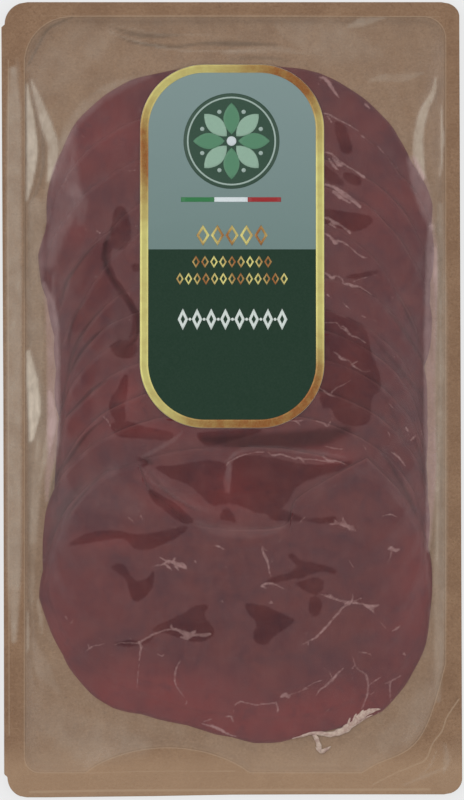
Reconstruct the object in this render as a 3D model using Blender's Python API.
"""Flat pack of sliced cured beef: a shallow kraft paper tray, a clear film drawn over
thirteen shingled slices, and a paper label with rounded corners on the film.

Metres, +Z up. The pack lies on its tray with the label up and its length along Y. The slices
are laid from the +Y end to the -Y end, each on top of the one before, so every slice shows
its +Y edge.
"""
import math

import bmesh
import bpy
import numpy as np
from mathutils import Vector
from mathutils.geometry import delaunay_2d_cdt

# Pack, seen from above
PACK_WIDTH = 0.1400
PACK_LENGTH = 0.2415
SIDE_LEAN = 0.0009  # the left side leans in by this from top to bottom, the right side leans out
LEAN_HALFWAY = 0.7  # share of the lean that the left side has at its middle
END_BOW = 0.0009  # how far the middle of the lower end stands back
END_LINE = ((-0.35, 0.4), (0.0, 0.9), (0.35, 1.0))  # shares of the half width and of the bow
CUT_STEP = 0.0010  # the straight knife cut stands out by this past the punched left corners
CORNERS = {  # width and height of each punched corner
    "lower_right": (0.0056, 0.0049),
    "upper_right": (0.0055, 0.0044),
    "upper_left": (0.0070, 0.0067),
    "lower_left": (0.0058, 0.0061),
}
CORNER_STEPS = 6

# Tray
PAPER = 0.00045
FLANGE_TOP = 0.00265
WALL_RUN = 0.0022  # how far in the sloped wall reaches
WELL_LEFT = -0.0628
WELL_RIGHT = 0.0648
WELL_UPPER = 0.1162
WELL_LOWER = -0.1131
WELL_RADII = {"upper_right": 0.0065, "upper_left": 0.0140, "lower_left": 0.0045}
LAND_CENTRE = -0.0195  # the half-moon land that stands into the well at the lower end
LAND_HALF_WIDTH = 0.0248
LAND_HEIGHT = 0.0076
LAND_ROUNDNESS = 0.85
LAND_POINTS = 17
PEEL_START = (0.0395, WELL_LOWER)  # the seal turns across the lower right corner
PEEL_BENDS = ((0.0490, -0.1060), (0.0560, -0.1100), (0.0590, -0.1010), (0.0612, -0.0940))
PEEL_END = (WELL_RIGHT, -0.0800)
PEEL_POINTS = 12

# Slices
SLICE_THICKNESS = 0.00070
SLICE_HALF_WIDTH = 0.0592
SLICE_HALF_LENGTH = 0.0432
SLICE_SQUARENESS = 2.3
FIRST_CENTRE = (0.0013, 0.0582)
SLICE_PITCHES = (12.1, 12.1, 9.1, 11.5, 16.4, 9.1, 5.5, 9.1, 10.3, 9.7, 10.3, 5.5)  # mm
SLICE_COUNT = len(SLICE_PITCHES) + 1
SIDE_SHIFT = 0.0010  # the slices lie a little to one side or the other
SHIFT_TURN = 2.3  # radians from slice to slice
SHIFT_START = 0.7
OUTLINE_WAVE = 0.012  # share of the radius
WAVES = ((3, 1.9, 1.0), (5, -2.7, 0.6))  # waves round a slice, turn from slice to slice, strength
FREE_EDGE = 0.0004  # half the run of a slice edge that nothing covers
BURIED_EDGE = 0.0075  # half the run of one that later slices lie over
FOLDED_EDGE = (  # the top slice's +Y edge is folded back: its line, from the slice's centre
    (-0.0292, 0.0425),
    (-0.0260, 0.0348),
    (-0.0200, 0.0302),
    (-0.0134, 0.0250),
    (0.0012, 0.0232),
    (0.0149, 0.0245),
    (0.0180, 0.0320),
    (0.0276, 0.0384),
    (0.0395, 0.0448),
)
FRINGE = ((0.0247, -0.1016), (0.0262, -0.1052), (0.0274, -0.1078), (0.0298, -0.1060))
FRINGE_HEIGHT = 0.0009
FRINGE_HALF_WIDTH = 0.0008

# Film
FILM = 0.00035
GAP = 0.0003
PULL = 0.00001  # how far the vacuum draws the film below flat, for each cell and step
CELL = 0.0006
DRAPE_STEPS = 1500
MESH_PITCH = 0.0032
EDGE_PITCH = 0.0034
EDGE_ANGLES = (4, 176)  # degrees, the stretch of a slice's edge that can show
EDGE_SAMPLES = 300
SHORTEST_RUN = 12  # samples
CLEAR_OF_LINES = 0.45  # of the pitch
SAME_POINT = 0.00001
SHARP_ANGLE = 35  # degrees

# Label
LABEL_WIDTH = 0.0559
LABEL_LENGTH = 0.1105
LABEL_RADIUS = 0.0197
LABEL_CENTRE = (0.0001, 0.0467)
LABEL_THICKNESS = 0.0003
LABEL_PITCH = 0.0055
LABEL_SOFTENING = 420  # smoothing steps of the film under the label
LABEL_MARGIN = 0.0008  # the film is smooth this far past the label's edge
LABEL_BLEND = 0.0012  # half the run over which it takes up the slices' steps again


def arc(centre, radii, start, end, steps):
    """Points on an ellipse's arc, with angles in degrees."""
    angles = np.radians(np.linspace(start, end, steps + 1))
    return np.column_stack(
        (centre[0] + radii[0] * np.cos(angles), centre[1] + radii[1] * np.sin(angles))
    )


def bezier(points, steps):
    """Points on the Bezier curve that these control points give."""
    t = np.linspace(0, 1, steps + 1)[:, None]
    degree = len(points) - 1
    return sum(
        math.comb(degree, k) * t**k * (1 - t) ** (degree - k) * np.array(point)
        for k, point in enumerate(points)
    )


def pack_outline():
    """The cut edge of the pack, anticlockwise from the lower left corner."""
    right, upper = PACK_WIDTH / 2, PACK_LENGTH / 2
    rx, ry = CORNERS["lower_left"]
    left_low = -right + SIDE_LEAN + CUT_STEP
    lower_left = arc((left_low + rx, -upper + ry), (rx, ry), 180, 270, CORNER_STEPS)
    lower_end = np.array([(right * across, -upper + END_BOW * bow) for across, bow in END_LINE])
    rx, ry = CORNERS["lower_right"]
    lower_right = arc((right - rx, -upper + END_BOW + ry), (rx, ry), 270, 360, CORNER_STEPS)
    rx, ry = CORNERS["upper_right"]
    upper_right = arc((right - SIDE_LEAN - rx, upper - ry), (rx, ry), 0, 90, CORNER_STEPS)
    rx, ry = CORNERS["upper_left"]
    upper_left = arc((-right + CUT_STEP + rx, upper - ry), (rx, ry), 90, 180, CORNER_STEPS)
    cut = np.array(
        [
            (-right, upper_left[-1][1] - CUT_STEP),
            (-right + SIDE_LEAN * LEAN_HALFWAY, 0),
            (-right + SIDE_LEAN, lower_left[0][1] + CUT_STEP),
        ]
    )
    return np.concatenate((lower_left, lower_end, lower_right, upper_right, upper_left, cut))


def well_rim():
    """The inner line of the seal, where the flange turns down into the well, anticlockwise."""
    r = WELL_RADII["lower_left"]
    lower_left = arc((WELL_LEFT + r, WELL_LOWER + r), (r, r), 180, 270, 5)
    along = np.linspace(-1, 1, LAND_POINTS)
    bump = (1 - along**2) ** LAND_ROUNDNESS
    land = np.column_stack((LAND_CENTRE + LAND_HALF_WIDTH * along, WELL_LOWER + LAND_HEIGHT * bump))
    peel = bezier((PEEL_START, *PEEL_BENDS, PEEL_END), PEEL_POINTS)
    r = WELL_RADII["upper_right"]
    upper_right = arc((WELL_RIGHT - r, WELL_UPPER - r), (r, r), 0, 90, 6)
    r = WELL_RADII["upper_left"]
    upper_left = arc((WELL_LEFT + r, WELL_UPPER - r), (r, r), 90, 180, 9)
    return np.concatenate((lower_left, land, peel, upper_right, upper_left))


def inset(loop, distance):
    """The loop moved inwards by a distance, along each corner's bisector."""
    before = loop - np.roll(loop, 1, axis=0)
    after = np.roll(loop, -1, axis=0) - loop
    before /= np.linalg.norm(before, axis=1)[:, None]
    after /= np.linalg.norm(after, axis=1)[:, None]
    bisector = np.column_stack((-(before + after)[:, 1], (before + after)[:, 0]))
    bisector /= np.linalg.norm(bisector, axis=1)[:, None]
    return loop + bisector * distance


def closed(loop):
    """The loop as a line that ends where it starts."""
    return np.vstack((loop, loop[:1]))


def resample(line, pitch):
    """Points at an even pitch along an open line, with both ends kept."""
    lengths = np.concatenate(([0], np.cumsum(np.linalg.norm(np.diff(line, axis=0), axis=1))))
    count = max(2, round(lengths[-1] / pitch) + 1)
    at = np.linspace(0, lengths[-1], count)
    return np.column_stack([np.interp(at, lengths, line[:, k]) for k in (0, 1)])


def is_inside(x, y, loop):
    """True where a point lies inside the closed loop."""
    result = np.zeros(np.shape(x), dtype=bool)
    for (x0, y0), (x1, y1) in zip(loop, np.roll(loop, -1, axis=0)):
        if y0 != y1:
            crosses = (y0 > y) != (y1 > y)
            result ^= crosses & (x < x0 + (y - y0) * (x1 - x0) / (y1 - y0))
    return result


def distance_to_line(x, y, line):
    """Distance from each point to an open line."""
    nearest = np.full(np.shape(x), np.inf)
    for (x0, y0), (x1, y1) in zip(line[:-1], line[1:]):
        dx, dy = x1 - x0, y1 - y0
        t = np.clip(((x - x0) * dx + (y - y0) * dy) / max(dx * dx + dy * dy, 1e-12), 0, 1)
        nearest = np.minimum(nearest, np.hypot(x - x0 - t * dx, y - y0 - t * dy))
    return nearest


def ramp(distance, half_run):
    """0 well outside, 1 well inside, smooth between."""
    t = np.clip(distance / (2 * half_run) + 0.5, 0, 1)
    return t * t * (3 - 2 * t)


def slice_centre(index):
    x, y = FIRST_CENTRE
    shift = SIDE_SHIFT * math.sin(SHIFT_TURN * index + SHIFT_START)
    return x + shift, y - sum(SLICE_PITCHES[:index]) / 1000


def slice_radius(index, angle):
    """Distance from a slice's centre to its edge: a squarish ellipse with a slow wave."""
    n = SLICE_SQUARENESS
    across = np.abs(np.cos(angle) / SLICE_HALF_WIDTH) ** n
    along = np.abs(np.sin(angle) / SLICE_HALF_LENGTH) ** n
    wave = sum(strength * np.sin(count * angle + turn * index) for count, turn, strength in WAVES)
    return (across + along) ** (-1 / n) * (1 + OUTLINE_WAVE * wave)


def fold_line(dx):
    """Where the top slice's folded edge runs, and far off to both sides of it."""
    fold_x, fold_y = np.array(FOLDED_EDGE).T
    return np.interp(dx, fold_x, fold_y, left=PACK_LENGTH, right=PACK_LENGTH)


def slice_depth(index, x, y):
    """How far inside a slice's edge a point lies, below 0 outside."""
    cx, cy = slice_centre(index)
    dx, dy = x - cx, y - cy
    depth = slice_radius(index, np.arctan2(dy, dx)) - np.hypot(dx, dy)
    if index == SLICE_COUNT - 1:
        depth = np.minimum(depth, fold_line(dx) - dy)
    return depth


def stack_height(x, y):
    """Height of the shingled slices and the fringe of fat over the floor of the well."""
    height = np.zeros(np.shape(x))
    for index in range(SLICE_COUNT):
        cx, cy = slice_centre(index)
        under_later = 0 if index == SLICE_COUNT - 1 else BURIED_EDGE - FREE_EDGE
        downwards = np.clip(-np.sin(np.arctan2(y - cy, x - cx)), 0, 1)
        run = FREE_EDGE + under_later * downwards
        height += SLICE_THICKNESS * ramp(slice_depth(index, x, y), run)
    fringe = ramp(FRINGE_HALF_WIDTH - distance_to_line(x, y, np.array(FRINGE)), FRINGE_HALF_WIDTH)
    return np.maximum(height, FRINGE_HEIGHT * fringe)


def soften(field, steps):
    """The field after some rounds of averaging each cell with its neighbours."""
    for _ in range(steps):
        padded = np.pad(field, 1, mode="edge")
        sides = padded[2:, 1:-1] + padded[:-2, 1:-1] + padded[1:-1, 2:] + padded[1:-1, :-2]
        field = (sides + 4 * field) / 8
    return field


def label_outline():
    """The label's edge: a rectangle with large round corners, anticlockwise."""
    cx, cy = LABEL_CENTRE
    dx, dy = LABEL_WIDTH / 2 - LABEL_RADIUS, LABEL_LENGTH / 2 - LABEL_RADIUS
    r = (LABEL_RADIUS, LABEL_RADIUS)
    return np.concatenate(
        (
            arc((cx + dx, cy - dy), r, 270, 360, 8),
            arc((cx + dx, cy + dy), r, 0, 90, 8),
            arc((cx - dx, cy + dy), r, 90, 180, 8),
            arc((cx - dx, cy - dy), r, 180, 270, 8),
        )
    )


def drape_film(rim):
    """Height of the film's upper side on a grid: held on the flange, drawn down on the slices.

    Each step takes every free cell to the mean of its neighbours, less the pull, and lifts
    it back to what lies under the film.
    """
    xs = np.arange(-PACK_WIDTH / 2, PACK_WIDTH / 2 + CELL, CELL)
    ys = np.arange(-PACK_LENGTH / 2, PACK_LENGTH / 2 + CELL, CELL)
    x, y = np.meshgrid(xs, ys)
    held = ~is_inside(x, y, rim)
    flange = FLANGE_TOP + GAP + FILM
    floor = PAPER + GAP
    under = floor + np.maximum(stack_height(x, y), FILM)
    film = np.where(held, flange, np.maximum(under, flange))
    for _ in range(DRAPE_STEPS):
        padded = np.pad(film, 1, mode="edge")
        sides = padded[2:, 1:-1] + padded[:-2, 1:-1] + padded[1:-1, 2:] + padded[1:-1, :-2]
        film = np.where(held, flange, np.maximum(under, sides / 4 - PULL))
    label = label_outline()
    near = np.where(is_inside(x, y, label), 0, distance_to_line(x, y, closed(label)))
    blend = ramp(LABEL_MARGIN + LABEL_BLEND - near, LABEL_BLEND)
    return xs, ys, film + (soften(film, LABEL_SOFTENING) - film) * blend


def sample(grid, points):
    """The grid's height at each point, between its cells."""
    xs, ys, film = grid
    u = np.clip((points[:, 0] - xs[0]) / CELL, 0, len(xs) - 1.001)
    v = np.clip((points[:, 1] - ys[0]) / CELL, 0, len(ys) - 1.001)
    i, j = u.astype(int), v.astype(int)
    fu, fv = u - i, v - j
    low = film[j, i] * (1 - fu) + film[j, i + 1] * fu
    high = film[j + 1, i] * (1 - fu) + film[j + 1, i + 1] * fu
    return low * (1 - fv) + high * fv


def slice_edge_lines():
    """Lines along the top and the foot of each slice's free edge, where no later slice covers it."""
    lines = []
    label = label_outline()
    for index in range(SLICE_COUNT):
        cx, cy = slice_centre(index)
        angles = np.radians(np.linspace(*EDGE_ANGLES, EDGE_SAMPLES))
        radius = slice_radius(index, angles)
        x, y = cx + radius * np.cos(angles), cy + radius * np.sin(angles)
        if index == SLICE_COUNT - 1:
            y = np.minimum(y, cy + fold_line(x - cx))
        to_label = distance_to_line(x, y, closed(label))
        seen = ~is_inside(x, y, label) & (to_label > MESH_PITCH / 2)
        for later in range(index + 1, SLICE_COUNT):
            seen &= slice_depth(later, x, y) < -2 * FREE_EDGE
        runs = np.split(np.arange(len(x)), np.flatnonzero(np.diff(seen.astype(int))) + 1)
        for run in runs:
            if seen[run[0]] and len(run) > SHORTEST_RUN:
                edge = np.column_stack((x[run], y[run]))
                out = edge - np.array((cx, cy))
                out /= np.linalg.norm(out, axis=1)[:, None]
                lines.append(resample(edge - out * FREE_EDGE, EDGE_PITCH))
                lines.append(resample(edge + out * FREE_EDGE, EDGE_PITCH))
    return lines


def fill_points(loop, lines, pitch):
    """Points of a hexagonal grid inside a loop and clear of its edge and of the lines."""
    low, high = loop.min(axis=0), loop.max(axis=0)
    rows = np.arange(low[1], high[1], pitch * math.sqrt(3) / 2)
    points = []
    for number, row in enumerate(rows):
        xs = np.arange(low[0] + (number % 2) * pitch / 2, high[0], pitch)
        points.append(np.column_stack((xs, np.full(len(xs), row))))
    points = np.concatenate(points)
    x, y = points.T
    keep = is_inside(x, y, loop)
    for line in [closed(loop), *lines]:
        keep &= distance_to_line(x, y, line) > pitch * CLEAR_OF_LINES
    return points[keep]


def sheet(bm, loop, lines, pitch, height):
    """A triangulated sheet inside a loop, through the lines, lifted to height(points).

    Returns the loop's vertices, in order.
    """
    parts = [loop, *lines, fill_points(loop, lines, pitch)]
    points = np.concatenate(parts)
    count = len(loop)
    edges = [(k, (k + 1) % count) for k in range(count)]
    start = count
    for line in lines:
        edges += [(start + k, start + k + 1) for k in range(len(line) - 1)]
        start += len(line)
    flat, _, faces, origins, _, _ = delaunay_2d_cdt(
        [Vector(point) for point in points], edges, [], 1, SAME_POINT
    )
    flat = np.array([tuple(point) for point in flat])
    heights = height(flat)
    verts = [bm.verts.new((x, y, z)) for (x, y), z in zip(flat, heights)]
    for face in faces:
        bm.faces.new([verts[k] for k in face])
    place = {origin: verts[k] for k, group in enumerate(origins) for origin in group}
    return [place[k] for k in range(count)]


def ring_wall(bm, lower, upper):
    """Quads between two closed loops of vertices with equal counts."""
    count = len(lower)
    for k in range(count):
        n = (k + 1) % count
        bm.faces.new((lower[k], lower[n], upper[n], upper[k]))


def loop_verts(bm, loop, z):
    return [bm.verts.new((x, y, z)) for x, y in loop]


def fill_between(bm, outer, inner):
    """Triangles between an outer loop of vertices and a loop inside it, or inside one loop."""
    edges = []
    for loop in (outer, inner):
        for k in range(len(loop)):
            pair = (loop[k], loop[(k + 1) % len(loop)])
            edges.append(bm.edges.get(pair) or bm.edges.new(pair))
    bmesh.ops.triangle_fill(bm, use_beauty=True, use_dissolve=False, edges=edges)


def finish(name, bm, colour, roughness):
    """The mesh as an object with its own material, faces out."""
    bmesh.ops.triangulate(bm, faces=bm.faces[:])
    bmesh.ops.recalc_face_normals(bm, faces=bm.faces[:])
    mesh = bpy.data.meshes.new(name)
    bm.to_mesh(mesh)
    bm.free()
    mesh.shade_smooth()
    mesh.set_sharp_from_angle(angle=math.radians(SHARP_ANGLE))
    material = bpy.data.materials.new(name)
    material.use_nodes = True
    shader = material.node_tree.nodes["Principled BSDF"]
    shader.inputs["Base Color"].default_value = (*colour, 1)
    shader.inputs["Roughness"].default_value = roughness
    shader.inputs["Metallic"].default_value = 0
    mesh.materials.append(material)
    part = bpy.data.objects.new(name, mesh)
    bpy.context.scene.collection.objects.link(part)
    return part


def tray_side(bm, outline, rim, z_shift, spread):
    """One side of the tray: flange, sloped wall and floor. spread widens the well."""
    edge = loop_verts(bm, outline, FLANGE_TOP + z_shift)
    turn = loop_verts(bm, inset(rim, -spread), FLANGE_TOP + z_shift)
    foot = loop_verts(bm, inset(rim, WALL_RUN - spread), PAPER + z_shift)
    fill_between(bm, edge, turn)
    ring_wall(bm, turn, foot)
    fill_between(bm, foot, [])
    return edge


def make_tray(outline, rim):
    """The formed kraft paper: the same sheet at two heights, joined along its cut edge."""
    bm = bmesh.new()
    slope = math.atan2(FLANGE_TOP - PAPER, WALL_RUN)
    spread = PAPER * math.tan(slope / 2)
    upper = tray_side(bm, outline, rim, 0, 0)
    lower = tray_side(bm, outline, rim, -PAPER, spread)
    ring_wall(bm, lower, upper)
    return finish("kraft_tray", bm, (0.26, 0.16, 0.09), 0.8)


def make_filling(outline, rim, grid):
    """The film with the slices under it: one body that fills the well and laps the flange."""
    bm = bmesh.new()
    round_label = inset(label_outline(), -LABEL_MARGIN)
    lines = [
        resample(closed(rim), EDGE_PITCH)[:-1],
        resample(closed(round_label), EDGE_PITCH)[:-1],
        resample(np.array(FRINGE), EDGE_PITCH / 2),
        *slice_edge_lines(),
    ]
    top = sheet(bm, outline, lines, MESH_PITCH, lambda points: sample(grid, points))
    slope = math.atan2(FLANGE_TOP - PAPER, WALL_RUN)
    spread = GAP * math.tan(slope / 2)
    bottom = tray_side(bm, outline, rim, GAP, -spread)
    ring_wall(bm, bottom, top)
    return finish("film_and_slices", bm, (0.13, 0.055, 0.058), 0.25)


def make_label(grid):
    """The label, which follows the film with the gap between them."""
    bm = bmesh.new()
    loop = label_outline()
    upper = sheet(
        bm, loop, [], LABEL_PITCH, lambda points: sample(grid, points) + GAP + LABEL_THICKNESS
    )
    lower = sheet(bm, loop, [], LABEL_PITCH, lambda points: sample(grid, points) + GAP)
    ring_wall(bm, lower, upper)
    return finish("label", bm, (0.05, 0.11, 0.07), 0.4)


for old in list(bpy.data.objects):
    bpy.data.objects.remove(old, do_unlink=True)

pack_edge = pack_outline()
seal_line = well_rim()
film_grid = drape_film(seal_line)
make_tray(pack_edge, seal_line)
make_filling(pack_edge, seal_line, film_grid)
make_label(film_grid)
